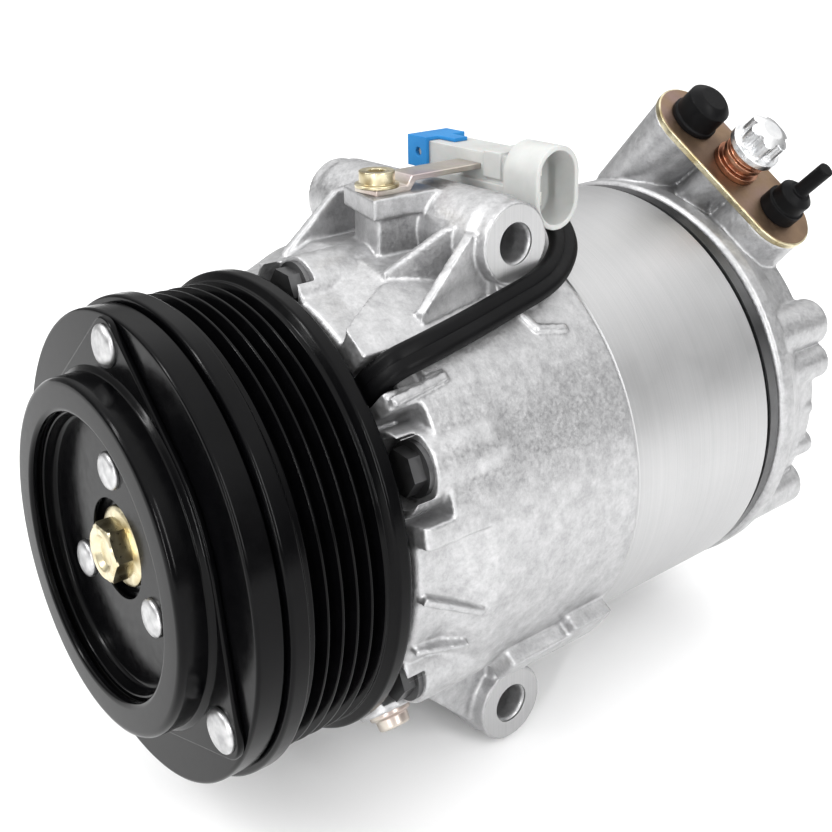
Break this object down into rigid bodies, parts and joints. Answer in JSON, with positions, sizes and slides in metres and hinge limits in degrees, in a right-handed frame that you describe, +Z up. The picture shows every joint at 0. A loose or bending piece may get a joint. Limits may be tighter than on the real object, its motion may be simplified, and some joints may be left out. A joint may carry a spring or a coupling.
{
  "type": "automotive ac compressor",
  "caption": "Variable swash-plate refrigerant compressor with a ribbed-belt pulley, electromagnetic clutch, mounting bosses, coil connector and a port block.",
  "frame": {"origin": "on the shaft axis, in the middle plane of the pulley's belt grooves", "axes": "+Y along the shaft from the clutch to the rear head, +Z up towards the upper mounting bore, +X along the mounting bores"},
  "size_m": [0.114, 0.2057, 0.1562],
  "materials": {
    "satin_black_paint": "gloss black e-coat",
    "clutch_steel": "flat rivet faces, bright",
    "zinc_yellow": "yellow zinc plate",
    "cast_aluminium": "as-cast, grainy",
    "machined_aluminium": "fine turned finish",
    "bearing_steel": "ground",
    "dark_steel": "machined, oiled",
    "piston_coating": "dark slide coating on the skirt",
    "rubber_black": "moulded",
    "gasket_grey": "rubber-coated steel sheet",
    "copper_winding": "enamelled copper wire, potted",
    "plastic_black": "moulded",
    "plastic_grey": "moulded",
    "plastic_blue": "moulded",
    "lead_sleeve": "flat twin-core sleeve",
    "tin_plate": "tin plate",
    "zinc_pink": "iridescent zinc plate",
    "bronze_plate": "brown-gold passivated face",
    "brass": "turned",
    "zinc_silver": "clear zinc plate"
  },
  "bodies": {
    "housing": {"front_housing": "cast_aluminium", "cylinder_block": "machined_aluminium", "rear_head": "cast_aluminium", "valve_plate": "dark_steel", "valve_reeds": "bearing_steel", "head_gaskets": "gasket_grey", "o_rings": "rubber_black", "through_bolts": "dark_steel", "needle_bearings": "bearing_steel", "thrust_bearing": "bearing_steel", "shaft_seal": "rubber_black", "seal_retaining_ring": "dark_steel", "field_coil": "satin_black_paint", "coil_winding": "copper_winding", "snap_rings": "dark_steel", "bearing_inner_race": "bearing_steel", "coil_lead": "lead_sleeve", "connector_body": "plastic_grey", "connector_lock": "plastic_blue", "connector_terminals": "tin_plate", "connector_bracket": "zinc_pink", "bracket_screw": "zinc_yellow", "drain_plug": "zinc_pink", "port_plate": "bronze_plate", "port_plate_bolt": "zinc_silver", "bolt_collar": "brass", "high_port_plug": "plastic_black", "low_port_plug": "plastic_black", "control_valve": "brass", "relief_valve": "brass"},
    "pulley": {"pulley": "satin_black_paint", "bearing_outer_race": "bearing_steel"},
    "bearing_cage": {"bearing_balls": "bearing_steel"},
    "shaft": {"drive_shaft": "bearing_steel", "clutch_hub": "satin_black_paint", "hub_plate": "satin_black_paint", "damper_ring": "rubber_black", "inner_rivets": "clutch_steel", "hub_bolt": "zinc_yellow", "rotor": "dark_steel", "return_spring": "bearing_steel"},
    "armature": {"armature_plate": "satin_black_paint", "hub_cup": "satin_black_paint", "outer_rivets": "clutch_steel"},
    "sleeve": {"swash_sleeve": "dark_steel"},
    "swash": {"swash_plate": "dark_steel", "swash_pins": "bearing_steel"},
    "valve_rod": {"control_valve_rod": "bearing_steel"},
    "piston_1": {"piston_1": "piston_coating"},
    "shoes_1": {"shoes_1": "bearing_steel"},
    "piston_2": {"piston_2": "piston_coating"},
    "shoes_2": {"shoes_2": "bearing_steel"},
    "piston_3": {"piston_3": "piston_coating"},
    "shoes_3": {"shoes_3": "bearing_steel"},
    "piston_4": {"piston_4": "piston_coating"},
    "shoes_4": {"shoes_4": "bearing_steel"},
    "piston_5": {"piston_5": "piston_coating"},
    "shoes_5": {"shoes_5": "bearing_steel"},
    "piston_6": {"piston_6": "piston_coating"},
    "shoes_6": {"shoes_6": "bearing_steel"}
  },
  "joints": [
    {"name": "pulley_spin", "type": "hinge", "parent": "housing", "child": "pulley", "pos_m": [0, 0, 0], "axis": [0, 1, 0], "continuous": true},
    {"name": "cage_spin", "type": "hinge", "parent": "housing", "child": "bearing_cage", "pos_m": [0, 0, 0], "axis": [0, 1, 0], "continuous": true},
    {"name": "clutch_slip", "type": "hinge", "parent": "pulley", "child": "shaft", "pos_m": [0, 0, 0], "axis": [0, 1, 0], "continuous": true},
    {"name": "armature_slide", "type": "slide", "parent": "shaft", "child": "armature", "axis": [0, 1, 0], "range_m": [0, 0.00045], "stiffness_N_per_m": 20000, "springref_m": -0.0002, "deforming": ["damper_ring"]},
    {"name": "sleeve_slide", "type": "slide", "parent": "shaft", "child": "sleeve", "axis": [0, 1, 0], "range_m": [-0.0092, 0], "deforming": ["return_spring"]},
    {"name": "swash_tilt", "type": "hinge", "parent": "sleeve", "child": "swash", "pos_m": [0, 0.088, 0], "axis": [-1, 0, 0], "range_deg": [0, 15], "stiffness_Nm_per_rad": 1},
    {"name": "piston_1_slide", "type": "slide", "parent": "housing", "child": "piston_1", "axis": [0, 1, 0], "range_m": [-0.00975, 0]},
    {"name": "shoes_1_swivel", "type": "hinge", "parent": "piston_1", "child": "shoes_1", "pos_m": [0.03337, 0.088, -0.00292], "axis": [-1, 0, 0], "range_deg": [0, 15]},
    {"name": "piston_2_slide", "type": "slide", "parent": "housing", "child": "piston_2", "axis": [0, 1, 0], "range_m": [-0.00163, 0]},
    {"name": "shoes_2_swivel", "type": "hinge", "parent": "piston_2", "child": "shoes_2", "pos_m": [0.01921, 0.088, 0.02744], "axis": [-1, 0, 0], "range_deg": [0, 15]},
    {"name": "piston_3_slide", "type": "slide", "parent": "housing", "child": "piston_3", "axis": [0, 1, 0], "range_m": [-0.000849, 0]},
    {"name": "shoes_3_swivel", "type": "hinge", "parent": "piston_3", "child": "shoes_3", "pos_m": [-0.01416, 0.088, 0.03036], "axis": [-1, 0, 0], "range_deg": [0, 15]},
    {"name": "piston_4_slide", "type": "slide", "parent": "housing", "child": "piston_4", "axis": [0, 1, 0], "range_m": [-0.00819, 0]},
    {"name": "shoes_4_swivel", "type": "hinge", "parent": "piston_4", "child": "shoes_4", "pos_m": [-0.03337, 0.088, 0.00292], "axis": [-1, 0, 0], "range_deg": [0, 15]},
    {"name": "piston_5_slide", "type": "slide", "parent": "housing", "child": "piston_5", "axis": [0, 1, 0], "range_m": [-0.0163, 0]},
    {"name": "shoes_5_swivel", "type": "hinge", "parent": "piston_5", "child": "shoes_5", "pos_m": [-0.01921, 0.088, -0.02744], "axis": [-1, 0, 0], "range_deg": [0, 15]},
    {"name": "piston_6_slide", "type": "slide", "parent": "housing", "child": "piston_6", "axis": [0, 1, 0], "range_m": [-0.01708, 0]},
    {"name": "shoes_6_swivel", "type": "hinge", "parent": "piston_6", "child": "shoes_6", "pos_m": [0.01416, 0.088, -0.03036], "axis": [-1, 0, 0], "range_deg": [0, 15]},
    {"name": "valve_rod_slide", "type": "slide", "parent": "housing", "child": "valve_rod", "axis": [0, 1, 0], "range_m": [0, 0.0012], "stiffness_N_per_m": 2000}
  ],
  "couplings": [
    {"joint": "cage_spin", "follows": "pulley_spin", "ratio": 0.562},
    {"joint": "sleeve_slide", "follows": "swash_tilt", "m_per_rad": -0.034074},
    {"joint": "piston_1_slide", "follows": "swash_tilt", "m_per_rad": -0.037044},
    {"joint": "shoes_1_swivel", "follows": "swash_tilt", "ratio": 1},
    {"joint": "piston_2_slide", "follows": "swash_tilt", "m_per_rad": -0.006162},
    {"joint": "shoes_2_swivel", "follows": "swash_tilt", "ratio": 1},
    {"joint": "piston_3_slide", "follows": "swash_tilt", "m_per_rad": -0.003192},
    {"joint": "shoes_3_swivel", "follows": "swash_tilt", "ratio": 1},
    {"joint": "piston_4_slide", "follows": "swash_tilt", "m_per_rad": -0.031104},
    {"joint": "shoes_4_swivel", "follows": "swash_tilt", "ratio": 1},
    {"joint": "piston_5_slide", "follows": "swash_tilt", "m_per_rad": -0.061986},
    {"joint": "shoes_5_swivel", "follows": "swash_tilt", "ratio": 1},
    {"joint": "piston_6_slide", "follows": "swash_tilt", "m_per_rad": -0.064955},
    {"joint": "shoes_6_swivel", "follows": "swash_tilt", "ratio": 1}
  ]
}
